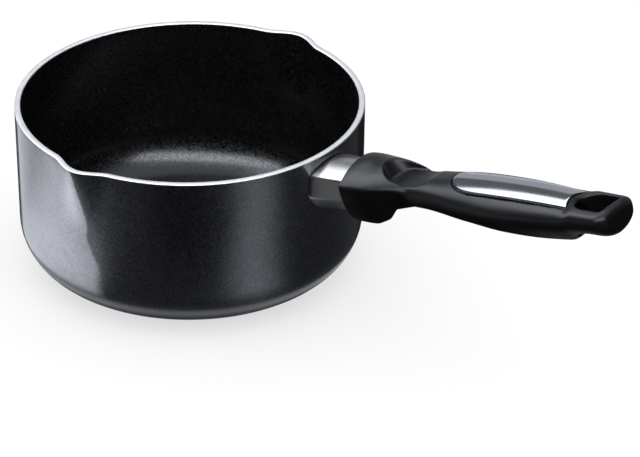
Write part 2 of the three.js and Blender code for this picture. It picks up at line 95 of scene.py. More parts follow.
def roundEdges(obj, piece):
    applyModifier(obj, "BEVEL", width=piece["edge"] * mm, segments=piece["edgeSteps"],
                  limit_method="ANGLE", angle_limit=math.radians(piece["edgeAngle"]))


def smoothShade(obj, angle):
    pickUp(obj)
    bpy.ops.object.shade_smooth_by_angle(angle=math.radians(angle))


# A grid rolled or bent over rows of points
def loft(name, rows, closedRound=True, capped=True):
    columns = len(rows[0]) if closedRound else len(rows[0]) - 1
    dropSelection()
    bpy.ops.mesh.primitive_grid_add(x_subdivisions=columns, y_subdivisions=len(rows) - 1, size=1)
    obj = justAdded(name)
    for vertex in obj.data.vertices: # the grid runs from -0.5 to 0.5
        column = round((vertex.co.x + 0.5) * columns) % len(rows[0])
        row = round((vertex.co.y + 0.5) * (len(rows) - 1))
        vertex.co = Vector(rows[row][column]) * mm
    startEditing(obj)
    closeMesh(capped)
    return obj


def evenly(start, end, steps):
    return [start + (end - start) * i / steps for i in range(steps + 1)]


def curvePoint(t, *points):
    points = [Vector(point) for point in points]
    while len(points) > 1:
        points = [a.lerp(b, t) for a, b in zip(points, points[1:])]
    return points[0]


def curve(steps, *points): # from the first point to the last, drawn towards those between
    return [curvePoint(t, *points) for t in evenly(0, 1, steps)]


# Smooth line through (at, value) points that never overshoots them
def smoothLine(points):
    steps = list(zip(points, points[1:]))
    rise = [(b[1] - a[1]) / (b[0] - a[0]) for a, b in steps]
    slope = [rise[0]]
    for before, after in zip(rise, rise[1:]):
        product = before * after
        slope.append(2 * product / (before + after) if product > 0 else 0)
    slope.append(rise[-1])

    def value(at):
        i = 0
        while i < len(points) - 2 and at > points[i + 1][0]:
            i += 1
        run = points[i + 1][0] - points[i][0]
        t = (at - points[i][0]) / run
        bend = t * t * (3 - 2 * t)
        return (points[i][1] * (1 - bend) + points[i + 1][1] * bend
                + run * t * (1 - t) * (slope[i] * (1 - t) - slope[i + 1] * t))
    return value


# Shader maths: a wire is one output socket, and arithmetic on it adds Math nodes
class Wire:
    def __init__(self, board, socket):
        self.board = board
        self.socket = socket

    def maths(self, operation, *others):
        return self.board.maths(operation, self, *others)

    def __add__(self, other):
        return self.board.maths("ADD", self, other)

    def __radd__(self, other):
        return self.board.maths("ADD", other, self)

    def __sub__(self, other):
        return self.board.maths("SUBTRACT", self, other)

    def __rsub__(self, other):
        return self.board.maths("SUBTRACT", other, self)

    def __mul__(self, other):
        return self.board.maths("MULTIPLY", self, other)

    def __rmul__(self, other):
        return self.board.maths("MULTIPLY", other, self)

    def __truediv__(self, other):
        return self.board.maths("DIVIDE", self, other)

    def __pow__(self, other):
        return self.board.maths("POWER", self, other)

    def spread(self, low, high): # from 0 to 1, to from low to high
        return low + (high - low) * self

    def within(self, low, high): # 0 below low, 1 above high, smooth between
        settings = {"interpolation_type": "SMOOTHSTEP"}
        sockets = {"Value": self, "From Min": low, "From Max": high}
        return self.board.add("ShaderNodeMapRange", settings, sockets)

    def between(self, rise, fall): # a window that opens over one range and closes over the other
        return self.within(*rise) * (1 - self.within(*fall))


class Board:
    def __init__(self, tree):
        self.tree = tree
        self.tree.nodes.clear()

    def add(self, kind, settings=None, sockets=None, output=0):
        node = self.tree.nodes.new(kind)
        for key, value in (settings or {}).items():
            setattr(node, key, value)
        for key, value in (sockets or {}).items():
            self.connect(node.inputs[key], value)
        return None if output is None else Wire(self, node.outputs[output])

    def connect(self, socket, value):
        if isinstance(value, Wire):
            self.tree.links.new(value.socket, socket)
        else:
            socket.default_value = value

    def maths(self, operation, *values):
        return self.add("ShaderNodeMath", {"operation": operation}, dict(enumerate(values)))

    def along(self, place, direction): # how far a place lies in a direction
        return self.add("ShaderNodeVectorMath", {"operation": "DOT_PRODUCT"},
                        {0: place, 1: direction}, output="Value")

    def blend(self, share, low, high):
        settings = {"data_type": "RGBA"}
        return self.add("ShaderNodeMix", settings, {0: share, 6: (*low, 1), 7: (*high, 1)}, output=2)

    def scaled(self, colour, strength):
        return self.add("ShaderNodeVectorMath", {"operation": "SCALE"}, {0: colour, "Scale": strength})

    def mixed(self, share, first, second):
        return self.add("ShaderNodeMixShader", sockets={0: share, 1: first, 2: second})

    def ray(self, kind):
        return self.add("ShaderNodeLightPath", output=f"Is {kind} Ray")


class Finish(Board):
    def __init__(self, name):
        self.material = bpy.data.materials.new(name)
        self.material.use_nodes = True
        super().__init__(self.material.node_tree)
        self.place = self.add("ShaderNodeTexCoord", output="Object")

    def show(self, shader):
        self.add("ShaderNodeOutputMaterial", sockets={"Surface": shader}, output=None)
        return self.material

    def dress(self, sockets): # numbers are the same all over the surface, wires vary
        return self.show(self.add("ShaderNodeBsdfPrincipled", sockets=sockets))

    def noise(self, size, detail=2.0, stretch=1):
        spot = self.add("ShaderNodeMapping", sockets={"Vector": self.place, "Scale": (stretch, 1, 1)})
        return self.add("ShaderNodeTexNoise", sockets={
            "Vector": spot, "Scale": 1 / (size * mm), "Detail": detail})

    def cells(self, size, output):
        return self.add("ShaderNodeTexVoronoi", sockets={
            "Vector": self.place, "Scale": 1 / (size * mm)}, output=output)

    def grey(self, colour):
        return self.add("ShaderNodeSeparateColor", sockets={"Color": colour})

    def bump(self, height, piece):
        return self.add("ShaderNodeBump", sockets={
            "Height": height, "Distance": piece["depth"] * mm, "Strength": piece["strength"]})

    def radius(self): # distance from the upright axis
        flat = self.add("ShaderNodeVectorMath", {"operation": "MULTIPLY"},
                        {0: self.place, 1: (1, 1, 0)})
        return self.add("ShaderNodeVectorMath", {"operation": "LENGTH"}, {0: flat}, output="Value")


# Finishes: sizes of their patterns in millimetres, roughness from smooth to rough

lacquer = dict(tone=(0.033, 0.033, 0.035), flakeTone=(0.185, 0.187, 0.20), flakeSize=0.32, flakePower=3.0,
               cloudSize=6.0, cloudShare=0.25, rough=(0.32, 0.44), depth=0.02, strength=0.25)


def panLacquer():
    look = Finish("panLacquer")
    flake = look.grey(look.cells(lacquer["flakeSize"], "Color"))
    cloud = look.noise(lacquer["cloudSize"])
    share = lacquer["cloudShare"]
    shine = flake ** lacquer["flakePower"] * (1 - share) + cloud * share
    return look.dress({
        "Metallic": 1.0, "Coat Weight": 1.0, "Coat Roughness": 0.03, "Coat IOR": 1.5,
        "Base Color": look.blend(shine, lacquer["tone"], lacquer["flakeTone"]),
        "Roughness": flake.spread(*lacquer["rough"]),
        "Normal": look.bump(flake, lacquer)})


nonStick = dict(tone=(0.002, 0.002, 0.0022), fleckTone=(0.05, 0.05, 0.049), fleckSize=0.8,
                fleckEdge=(0.10, 0.22), patchSize=5.0, patchEdge=(0.45, 0.7), rough=(0.16, 0.38),
                grainSize=0.9, depth=0.05, strength=0.8)


def panNonStick():
    look = Finish("panNonStick")
    flecks = 1 - look.cells(nonStick["fleckSize"], "Distance").within(*nonStick["fleckEdge"])
    patches = look.noise(nonStick["patchSize"]).within(*nonStick["patchEdge"])
    glitter = look.grey(look.cells(nonStick["fleckSize"], "Color"))
    return look.dress({
        "IOR": 1.6,
        "Base Color": look.blend(flecks * patches, nonStick["tone"], nonStick["fleckTone"]),
        "Roughness": glitter.spread(*nonStick["rough"]),
        "Normal": look.bump(look.noise(nonStick["grainSize"]), nonStick)})


moulding = dict(dark=(0.0018, 0.0018, 0.002), pale=(0.003, 0.003, 0.0032), rubSize=14.0, rough=(0.27, 0.33),
                grainSize=0.45, grainDetail=3.0, grainRough=0.05, depth=0.02, strength=0.35)


def handleMoulding():
    look = Finish("handleMoulding")
    grain = look.noise(moulding["grainSize"], moulding["grainDetail"])
    rub = look.noise(moulding["rubSize"])
    return look.dress({
        "IOR": 1.55,
        "Base Color": look.blend(rub, moulding["dark"], moulding["pale"]),
        "Roughness": rub.spread(*moulding["rough"]) + moulding["grainRough"] * grain,
        "Normal": look.bump(grain, moulding)})


# Bare metals: soft patches of two tones, with the marks that the tool left
rimMetal = dict(dark=(0.87, 0.855, 0.83), pale=(0.97, 0.955, 0.93), patchSize=7.0, rough=(0.42, 0.52),
                turned=0.45, depth=0.004, strength=0.5)
discMetal = dict(dark=(0.52, 0.52, 0.51), pale=(0.64, 0.64, 0.63), patchSize=10.0, rough=(0.28, 0.43),
                 turned=0.8, depth=0.006, strength=0.5)
guardMetal = dict(dark=(0.66, 0.65, 0.62), pale=(0.75, 0.74, 0.71), patchSize=9.0, rough=(0.22, 0.30),
                  streak=0.5, stretch=0.05, depth=0.003, strength=0.4)
inlayMetal = dict(dark=(0.82, 0.82, 0.84), pale=(0.88, 0.88, 0.90), patchSize=12.0, rough=(0.08, 0.13),
                  streak=0.4, stretch=0.04, depth=0.002, strength=0.3)
fixingMetal = dict(dark=(0.48, 0.48, 0.47), pale=(0.62, 0.62, 0.60), patchSize=1.5, rough=(0.25, 0.45),
                   streak=0.2, stretch=1, depth=0.004, strength=0.4)
studMetal = dict(dark=(0.60, 0.60, 0.61), pale=(0.74, 0.74, 0.75), patchSize=2.0, rough=(0.35, 0.55))


def turnedLines(look, metal):
    return (look.radius() * (2 * math.pi / (metal["turned"] * mm))).maths("SINE")


def drawnStreaks(look, metal):
    return look.noise(metal["streak"], stretch=metal["stretch"])


def bareMetal(name, metal, marks=None):
    look = Finish(name)
    patch = look.noise(metal["patchSize"])
    sockets = {"Metallic": 1.0,
               "Base Color": look.blend(patch, metal["dark"], metal["pale"]),
               "Roughness": patch.spread(*metal["rough"])}
    if marks:
        sockets["Normal"] = look.bump(marks(look, metal), metal)
    return look.dress(sockets)


panFinish, insideFinish, mouldingFinish = panLacquer(), panNonStick(), handleMoulding()
rimFinish = bareMetal("bareRim", rimMetal, turnedLines)
discFinish = bareMetal("discSteel", discMetal, turnedLines)
guardFinish = bareMetal("polishedGuard", guardMetal, drawnStreaks)
inlayFinish = bareMetal("polishedInlay", inlayMetal, drawnStreaks)
fixingFinish = bareMetal("fixingSteel", fixingMetal, drawnStreaks)
studFinish = bareMetal("studAluminium", studMetal)
print("saucepan: finishes ready")


def setOut(obj, node, slotName, *finishes):
    obj.data.materials.clear()
    for finish in finishes:
        obj.data.materials.append(finish)
    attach(obj, "root")
    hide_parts(node)


# Pan

pan = dict(
    rimRadius=80, height=80.4, draft=1, wall=2.8, base=4.6, corner=24, foot=0.5, rimEdge=0.5,
    lipReach=4.6, lipHalfWidth=16.5, lipDepth=34, lipTaper=0.45, seatRadius=54.3, seatCeiling=1.7,
    sides=256, cornerSteps=14, wallSteps=22, edgeSteps=3, floorRings=(0.6, 0.25),
    slack=0.05, floorFacing=0.5, smooth=40)


def panWallRadius(height):
    cornerTop = pan["foot"] + pan["corner"]
    share = (height - cornerTop) / (pan["height"] - cornerTop)
    return pan["rimRadius"] - pan["draft"] * (1 - share)


def panLipPush(angle, height):
    down = (pan["height"] - height) / pan["lipDepth"]
    if down >= 1:
        return 0
    halfWidth = pan["lipHalfWidth"] * (1 - pan["lipTaper"] * down)
    off = abs(abs(angle) - math.pi / 2) * pan["rimRadius"] / halfWidth
    if off >= 1:
        return 0
    return pan["lipReach"] * (1 - down) ** 2 * (1 + 2 * down) * (1 + math.cos(math.pi * off)) / 2


# From the middle of the seat under the base, round the outside and over the rim, to the floor
def panProfile():
    foot, corner, edge, top = pan["foot"], pan["corner"], pan["rimEdge"], pan["height"]
    outer, bore = pan["rimRadius"], pan["rimRadius"] - pan["wall"]
    inner, floor = corner - pan["wall"], foot + pan["base"]
    footEdge = outer - pan["draft"] - corner
    bends = evenly(0, math.pi / 2, pan["cornerSteps"])
    turns = evenly(0, math.pi / 2, pan["edgeSteps"])
    rise = evenly(foot + corner, top - edge, pan["wallSteps"])[:-1]
    profile = [(pan["seatRadius"], pan["seatCeiling"]), (pan["seatRadius"], foot)]
    profile += [(footEdge + corner * math.sin(bend), foot + corner * (1 - math.cos(bend)))
                for bend in bends[:-1]]
    profile += [(panWallRadius(height), height) for height in rise]
    profile += [(outer - edge * (1 - math.cos(turn)), top - edge * (1 - math.sin(turn)))
                for turn in turns]
    profile += [(bore + edge * (1 - math.cos(turn)), top - edge * (1 - math.sin(turn)))
                for turn in reversed(turns)]
    profile += [(panWallRadius(height) - pan["wall"], height) for height in reversed(rise)]
    profile += [(footEdge + inner * math.sin(bend), floor + inner * (1 - math.cos(bend)))
                for bend in reversed(bends)]
    return profile + [(footEdge * share, floor) for share in pan["floorRings"]]


def pressLips(obj): # the two pouring lips are pressed out of the round
    for vertex in obj.data.vertices:
        spot = vertex.co
        push = panLipPush(math.atan2(spot.y, spot.x), spot.z / mm)
        if push > 0:
            stretch = 1 + push * mm / math.hypot(spot.x, spot.y)
            spot.x *= stretch
            spot.y *= stretch


def coatPan(obj): # lacquered outside, non-stick inside, bare on the rim and underneath
    for face in obj.data.polygons:
        spot, facing = face.center / mm, face.normal
        out = facing.x * spot.x + facing.y * spot.y
        onRim = spot.z > pan["height"] - pan["rimEdge"]
        onFoot = spot.z < pan["foot"] + pan["slack"]
        inSeat = spot.z < pan["seatCeiling"] + pan["slack"] and out < pan["slack"]
        finish = panFinish
        if onRim or onFoot or inSeat:
            finish = rimFinish
        elif out < 0 or facing.z > pan["floorFacing"]:
            finish = insideFinish
        face.material_index = obj.data.materials.find(finish.name)


def makePan():
    profile = panProfile()
    dropSelection()
    bpy.ops.mesh.primitive_circle_add(vertices=pan["sides"], radius=profile[0][0] * mm)
    obj = justAdded("pan_lacquered")
    startEditing(obj)
    bpy.ops.transform.translate(value=(0, 0, profile[0][1] * mm))
    for before, after in zip(profile, profile[1:]):
        bpy.ops.mesh.extrude_edges_move(
            TRANSFORM_OT_translate={"value": (0, 0, (after[1] - before[1]) * mm)})
        scale = after[0] / before[0]
        bpy.ops.transform.resize(value=(scale, scale, 1), center_override=(0, 0, 0))
    closeMesh()
    pressLips(obj)
    setOut(obj, "pan_body", "pan_coating", panFinish, insideFinish, rimFinish)
    coatPan(obj)
    smoothShade(obj, pan["smooth"])
    return obj


panPiece = makePan()
print("saucepan: pan made")


# Base disc

disc = dict(radius=54, thickness=1.4, holeRadius=3, holeMargin=8, ringPitch=14, holePitch=15,
            punchLength=5.6, sides=192, holeSides=32, edge=0.25, edgeSteps=2, edgeAngle=50, smooth=35)


def discPunches(): # rings of round punches, joined into one cutter
    dropSelection()
    punches = []
    ring = disc["radius"] - disc["holeMargin"]
    while ring > disc["ringPitch"]:
        holes = round(2 * math.pi * ring / disc["holePitch"])
        for angle in evenly(0, 2 * math.pi, holes)[:-1]:
            bpy.ops.mesh.primitive_cylinder_add(
                vertices=disc["holeSides"], radius=disc["holeRadius"] * mm, depth=disc["punchLength"] * mm,
                location=(ring * math.cos(angle) * mm, ring * math.sin(angle) * mm, 0))
            punches.append(justAdded("discPunch"))
        ring -= disc["ringPitch"]
    dropSelection()
    for punch in punches:
        punch.select_set(True)
    bpy.context.view_layer.objects.active = punches[0]
    bpy.ops.object.join()
    return punches[0]


def makeDisc():
    dropSelection()
    bpy.ops.mesh.primitive_cylinder_add(
        vertices=disc["sides"], radius=disc["radius"] * mm, depth=disc["thickness"] * mm,
        location=(0, 0, disc["thickness"] / 2 * mm))
    obj = justAdded("base_disc_turned")
    bpy.ops.object.transform_apply(location=True, rotation=True, scale=True)
    cutAway(obj, discPunches())
    roundEdges(obj, disc)
    setOut(obj, "base_disc", "disc_steel", discFinish)
    smoothShade(obj, disc["smooth"])


makeDisc()
print("saucepan: base disc made")


# Handle frame: its own X runs out along the axis from the wall, its Z up across it

handle = dict(
    drop=16, pitch=12.5, gap=0.3,
    guardLength=17.3, guardWidth=29, guardTaper=1.4, guardCrown=12.4, guardShoulder=8.6,
    guardTuck=0.9, guardWaist=1.4, guardFoot=18, guardDrop=9.3, guardWall=2, guardSeat=3)
pitch = math.radians(handle["pitch"])
axisHeight = pan["height"] - handle["drop"]
faceAt = handle["guardLength"] / math.cos(pitch) # the handle's face, on the axis


def fromHandle(along, side, up):
    return Vector((pan["rimRadius"] + along * math.cos(pitch) - up * math.sin(pitch), side,
                   axisHeight + along * math.sin(pitch) + up * math.cos(pitch)))


# Flame guard

guard = dict(domeSteps=16, cornerSteps=4, footRound=2.2, waistRound=1.6, shoulderRound=1.2, rings=10,
             fittings=6, edge=0.25, edgeSteps=2, edgeAngle=60, smooth=30)


def guardHalfRing(along, grow):
    out = grow - handle["guardTaper"] * along / faceAt
    half = handle["guardWidth"] / 2 + out
    shoulder = handle["guardShoulder"] + out
    crown = shoulder + 2 * (handle["guardCrown"] - handle["guardShoulder"])
    bottom = (0, -handle["guardDrop"] - grow)
    foot = (handle["guardFoot"] / 2 + out, bottom[1])
    waist = (half, -handle["guardWaist"])
    brow = (half - handle["guardTuck"], shoulder)
    peak = (0, (shoulder + crown) / 2)
    rest = (brow[0] / 2, (shoulder + crown) / 2) # draws the dome's half up
    points = [bottom]
    corners = [(bottom, foot, waist, guard["footRound"]), (foot, waist, brow, guard["waistRound"]),
               (waist, brow, rest, guard["shoulderRound"])]
    for before, corner, after, size in corners:
        corner = Vector(corner)
        near = corner + (Vector(before) - corner).normalized() * size
        far = corner + (Vector(after) - corner).normalized() * size
        points += curve(guard["cornerSteps"], near, corner, far)
    return points + curve(guard["domeSteps"], points[-1], rest, peak)[1:]


def guardRing(along, grow):
    side = guardHalfRing(along, grow)
    return side + [(-y, z) for y, z in reversed(side[1:-1])]


# The near end follows the wall and the far end is upright, so each column has its own ends
def guardRows(grow, reach):
    columns = []
    for i in range(len(guardRing(0, grow))):
        starts, ends = 0.0, faceAt
        for _ in range(guard["fittings"]):
            spot = fromHandle(starts, *guardRing(starts, grow)[i])
            clear = panWallRadius(spot.z) + handle["gap"]
            starts += (math.sqrt(clear ** 2 - spot.y ** 2) - spot.x) / math.cos(pitch)
            spot = fromHandle(ends, *guardRing(ends, grow)[i])
            ends += (pan["rimRadius"] + reach - spot.x) / math.cos(pitch)
        columns.append(evenly(starts, ends, guard["rings"]))
    return [[fromHandle(along, *guardRing(along, grow)[i]) for i, along in enumerate(row)]
            for row in zip(*columns)]


def makeGuard():
    reach = handle["guardLength"] + handle["guardSeat"]
    obj = loft("flame_guard_polished", guardRows(0, reach), capped=False)
    applyModifier(obj, "SOLIDIFY", thickness=handle["guardWall"] * mm, offset=-1,
                  use_even_offset=True)
    roundEdges(obj, guard)
    setOut(obj, "flame_guard", "guard_aluminium", guardFinish)
    smoothShade(obj, guard["smooth"])
    return obj


guardPiece = makeGuard()
print("saucepan: flame guard made")


# Handle: stations along the axis, each with its run from the one before

grip = dict(
    overrun=6, lobeRun=6, shoulderRun=8, heelRun=7, creaseRun=9, neckRun=8, swellRun=28, gripRun=20,
    palmRun=18, stepRun=15.5, riseRun=5, archRun=7, tailRun=10.6, tailRound=3, tailCorner=5.2,
    hoodSideLip=2.9, shoulderHalf=16.8, heelHalf=15.2, neckHalf=11.2, swellHalf=14.4, gripHalf=16,
    palmHalf=15.4, stepHalf=14.4, tailHalf=13.4,
    hoodTopLip=2.5, shoulderTop=14, heelTop=13.7, neckTop=9.4, swellTop=11.2, gripTop=10.2,
    palmTop=8.7, stepTop=7, tailTop=5.7,
    hoodChin=7, lobeDepth=17.2, shoulderDepth=17, heelDepth=13, creaseDepth=7.2, neckDepth=4.8,
    swellDepth=8.4, gripDepth=11.1, palmDepth=12.1, stepDepth=11.6, riseDepth=8.1, archDepth=6.9,
    tailDepth=7.8,
    hoodWaist=7.1, heelWaist=6.1, creaseWaist=5.3, neckWaist=0, gripWaist=-0.4, tailWaist=-0.6,
    lowerSide=0.95, creaseSide=0.2, keelSide=0.2, creaseRise=0.7, flatTopSide=0.5, flatTopRise=0.45,
    creaseEnd=0.8, neckCrease=0.1,
    neckFlat=0.8, swellFlat=0.15, gripFlat=0, stepFlat=0.5, riseFlat=1, tailFlat=1,
    ringPoints=104, ringStep=1.1, tailSteps=14, tailTurn=86, voxel=0.45, smoothing=8, smoothFactor=0.5)
hollow = dict(start=2.3, keelRun=3, shoulderKeel=14.7, rearKeel=11.2, heelKeel=7.1, creaseKeel=5.8,
              frontSlope=0.3, shoulderSlope=0.62, heelSlope=0.1, steps=48)
scoop = dict(start=17, radius=10.2, ramp=4, floor=6.7, runOut=28, steps=32)
hole = dict(length=17, half=8.5, corner=2, toEnd=4.2, topInset=0.6, bottomInset=0.2, through=15,
            edge=1.2, edgeSteps=6, cornerSteps=8, frontSteps=12)

station, reached = {}, faceAt
for name in ("lobe", "shoulder", "heel", "crease", "neck", "swell", "grip", "palm", "step", "rise",
             "arch", "tail"):
    reached += grip[name + "Run"]
    station[name] = reached
startAt, endAt = faceAt - grip["overrun"], station["tail"]
holeRear = endAt - hole["toEnd"]
holeFront = holeRear - hole["length"]
hoodHalf = handle["guardWidth"] / 2 + grip["hoodSideLip"]
hoodTop = handle["guardCrown"] + grip["hoodTopLip"]
hoodDepth = handle["guardDrop"] + grip["hoodChin"]


def bodyLine(suffix, *first): # a smooth line through every station that has such a value
    rest = [(at, grip[name + suffix]) for name, at in station.items() if name + suffix in grip]
    return smoothLine([*first, *rest])


halfLine = bodyLine("Half", (startAt, hoodHalf), (station["lobe"], hoodHalf))
topLine = bodyLine("Top", (startAt, hoodTop), (station["lobe"], hoodTop))
depthLine = bodyLine("Depth", (startAt, hoodDepth))
waistLine = bodyLine("Waist", (startAt, grip["hoodWaist"]))
flatLine = bodyLine("Flat", (startAt, 0), (station["heel"], 0))
creaseLine = smoothLine([
    (startAt, 1), (station["crease"], grip["creaseEnd"]), (station["neck"], grip["neckCrease"]),
    (station["swell"], 0), (endAt, 0)])


def drawnIn(along, radius): # how far the rounded end has come in
    into = max(0, along - (endAt - radius)) / radius
    return radius * (1 - math.sqrt(max(0, 1 - into * into)))


# Half width, waist, rise and fall of the section, with the exponents of its upper and lower sides
def gripSection(along):
    crease, flat, waist = creaseLine(along), flatLine(along), waistLine(along)
    inset = drawnIn(along, grip["tailRound"])
    half = halfLine(along) - drawnIn(along, grip["tailCorner"])
    upper = (1 - grip["flatTopSide"] * flat,
             1 + grip["creaseRise"] * crease - grip["flatTopRise"] * flat)
    lower = (grip["lowerSide"] + grip["creaseSide"] * crease + grip["keelSide"] * flat,
             1 + grip["creaseRise"] * crease)
    return half, waist, topLine(along) - waist - inset, depthLine(along) + waist - inset, upper, lower


def gripRing(along):
    half, waist, rise, fall, upper, lower = gripSection(along)
    points = []
    for turn in evenly(0, 2 * math.pi, grip["ringPoints"])[:-1]:
        across, height = math.cos(turn), math.sin(turn)
        sideways, upright = upper if height >= 0 else lower
        y = math.copysign(half * abs(across) ** sideways, across)
        z = waist + (rise if height >= 0 else -fall) * abs(height) ** upright
        points.append(fromHandle(along, y, z))
    return points


def gripRows(): # closer together where the tail rounds off
    corner = grip["tailCorner"]
    straightEnd = endAt - corner
    places = evenly(startAt, straightEnd, round((straightEnd - startAt) / grip["ringStep"]))[:-1]
    turns = evenly(0, math.radians(grip["tailTurn"]), grip["tailSteps"])
    places += [straightEnd + corner * math.sin(turn) for turn in turns]
    return [gripRing(along) for along in places]


# A side outline along and above the axis, run right across the handle
def acrossHandle(name, outline):
    wide = 2 * hoodHalf
    return loft(name, [[fromHandle(x, side, z) for x, z in outline] for side in (-wide, wide)])


def rodAlong(name, start, end, radius):
    middle = fromHandle((start + end) / 2, 0, 0)
    dropSelection()
    bpy.ops.mesh.primitive_cylinder_add(
        vertices=fixing["sides"], radius=radius * mm, depth=(end - start) * mm, location=middle * mm,
        rotation=(0, math.pi / 2 - pitch, 0))
    obj = justAdded(name)
    bpy.ops.object.transform_apply(location=True, rotation=True, scale=True)
    return obj


# Thumb scoop: round towards the pan with a leaning front, its floor rising to the neck's top
def scoopCutter():
    radius, floor, top, gap = scoop["radius"], scoop["floor"], grip["heelTop"], handle["gap"]
    front = faceAt + scoop["start"]
    leave, level, high = front + scoop["runOut"], front + 2 * radius, hoodTop + radius

    def ring(height):
        reach = radius - scoop["ramp"] * (top - height) / (top - floor)
        outline = [(leave, -radius), (leave, radius)]
        for turn in evenly(math.pi / 2, math.pi * 3 / 2, scoop["steps"]):
            outline.append((front + radius + reach * math.cos(turn), radius * math.sin(turn)))
        return [fromHandle(x, y, height) for x, y in outline]

    obj = loft("scoopCutter", [ring(floor - gap), ring(high)])
    ground = curve(scoop["steps"], (front - gap, floor), (level, floor), ((level + leave) / 2, floor),
                   (leave, topLine(leave) + gap))
    cutAway(obj, acrossHandle("scoopAir", [*ground, (leave, high), (front - gap, high)]), "INTERSECT")
    return obj


# Finger hollow: everything below a keel line that slopes up to both sides
def hollowCutter():
    start, end = station["lobe"] + hollow["start"], station["neck"] + hollow["start"]
    shoulder, heel, crease = station["shoulder"], station["heel"], station["crease"]
    side, below = 2 * hoodHalf, -2 * grip["lobeDepth"]
    keel = smoothLine([
        (start, -grip["lobeDepth"]), (shoulder, -hollow["shoulderKeel"]),
        (shoulder + hollow["keelRun"], -hollow["rearKeel"]), (heel, -hollow["heelKeel"]),
        (crease, -hollow["creaseKeel"]), (end, -grip["neckDepth"] - handle["gap"])])
    slope = smoothLine([(start, hollow["frontSlope"]), (shoulder, hollow["shoulderSlope"]),
                        (heel, hollow["heelSlope"]), (end, 0)])
    rows = []
    for along in evenly(start, end, hollow["steps"]):
        middle = keel(along)
        edge = middle + slope(along) * side
        outline = [(-side, below), (side, below), (side, edge), (0, middle), (-side, edge)]
        rows.append([fromHandle(along, y, z) for y, z in outline])
    return loft("hollowCutter", rows)


# Hanging hole: round towards the pan, straight towards the end, with rounded edges above and below
def holeOutline(grow):
    half, corner = hole["half"] + grow, hole["corner"]
    front, rear = holeFront - grow, holeRear + grow
    points = [(rear, 0)]
    points += curve(hole["cornerSteps"], (rear, half - corner), (rear, half), (rear - corner, half))
    for turn in evenly(0, math.pi / 2, hole["frontSteps"])[1:]:
        points.append((front + half - half * math.sin(turn), half * math.cos(turn)))
    return points + [(x, -y) for x, y in reversed(points[1:-1])]


def holeCutter():
    edge, through = hole["edge"], hole["through"]
    top, bottom = grip["stepTop"] - hole["topInset"], -grip["archDepth"] - hole["bottomInset"]
    turns = evenly(0, math.pi / 2, hole["edgeSteps"])
    levels = [(bottom - through, edge)]
    levels += [(bottom + edge * (1 - math.cos(turn)), edge * (1 - math.sin(turn))) for turn in turns]
    levels += [(top - edge + edge * math.sin(turn), edge * (1 - math.cos(turn))) for turn in turns]
    levels.append((top + through, edge))
    rows = [[fromHandle(x, y, z) for x, y in holeOutline(grow)] for z, grow in levels]
    return loft("holeCutter", rows)


# Plate let into the top of the grip

inlay = dict(length=61.6, half=10.3, rearHalf=8.4, nose=18, blunt=0.66, hollow=2.4, toHole=3.2,
             noseBend=21, rearBend=30, thickness=1.5, proud=0.4, groove=1, recessHigh=3, rows=56, columns=40,
             edge=0.3, edgeSteps=3, edgeAngle=60, smooth=40)
plateRear = holeFront - inlay["toHole"]
plateTip = plateRear - inlay["length"]


# Top of the plate: one even arch along the grip, bent across it
def plateTop(along, side, lift):
    share = (along - plateTip) / inlay["length"]
    ends = topLine(plateTip), topLine(plateRear)
    arch = topLine((plateTip + plateRear) / 2) - sum(ends) / 2
    bend = inlay["noseBend"] * (1 - share) + inlay["rearBend"] * share
    crown = ends[0] * (1 - share) + ends[1] * share + 4 * arch * share * (1 - share)
    return crown + lift - side * side / (2 * bend)


# Rows from the hollow rear edge to the blunt nose, each across the plate
def inlayRows(grow, lift):
    rear, tip = plateRear + grow, plateTip - grow
    half, rearHalf = inlay["half"] + grow, inlay["rearHalf"] + grow
    noseEnd = tip + inlay["nose"]
    bend = noseEnd - inlay["nose"] * inlay["blunt"]
    rearCorner, noseCorner = Vector((rear + inlay["hollow"], rearHalf)), Vector((noseEnd, half))
    nose = [noseCorner, (bend, half), (tip, half * inlay["blunt"]), (tip, 0)]
    rows = []
    for u in evenly(0, 1, inlay["rows"]):
        side = curvePoint(u, rearCorner, ((rear + noseEnd) / 2, half), noseCorner)
        bulge = side - rearCorner.lerp(noseCorner, u)
        row = []
        for turn in evenly(-math.pi / 2, math.pi / 2, inlay["columns"]):
            t = math.sin(turn)
            back = Vector((rear + inlay["hollow"] * t * t, rearHalf * abs(t)))
            spot = back.lerp(curvePoint(1 - abs(t), *nose), u)
            x, y = spot.x + bulge.x * t * t, math.copysign(spot.y + bulge.y * abs(t), t)
            row.append(fromHandle(x, y, plateTop(x, y, lift)))
        rows.append(row)
    return rows


def plateSheet(name, grow, lift): # the plate's top as an open sheet that faces up
    obj = loft(name, inlayRows(grow, lift), closedRound=False, capped=False)
    if obj.data.polygons[0].normal.z < 0:
        startEditing(obj)
        bpy.ops.mesh.flip_normals()
        stopEditing()
    return obj


def makeInlay():
    obj = plateSheet("inlay_polished", 0, inlay["proud"])
    applyModifier(obj, "SOLIDIFY", thickness=inlay["thickness"] * mm, offset=-1)
    roundEdges(obj, inlay)
    setOut(obj, "inlay_plate", "inlay_metal", inlayFinish)
    smoothShade(obj, inlay["smooth"])


def inlayRecess():
    deep, high = inlay["thickness"] - inlay["proud"] + handle["gap"], inlay["recessHigh"]
    obj = plateSheet("inlayRecess", inlay["groove"], 0)
    applyModifier(obj, "SOLIDIFY", thickness=(deep + high) * mm, offset=(high - deep) / (high + deep))
    return obj


makeInlay()
print("saucepan: inlay made")


# Stud, screw and washers, with the bores that they need in the handle

fixing = dict(studRadius=5.5, studSeat=5.3, boreRadius=2.8, headRadius=4, head=3.2, headRecess=5,
              washers=(1, 1.2), sides=48)
studEnd = faceAt + fixing["studSeat"]
washerStack = sum(washer + handle["gap"] for washer in fixing["washers"]) + handle["gap"]
seatAt = holeFront - fixing["headRecess"] - fixing["head"] - washerStack


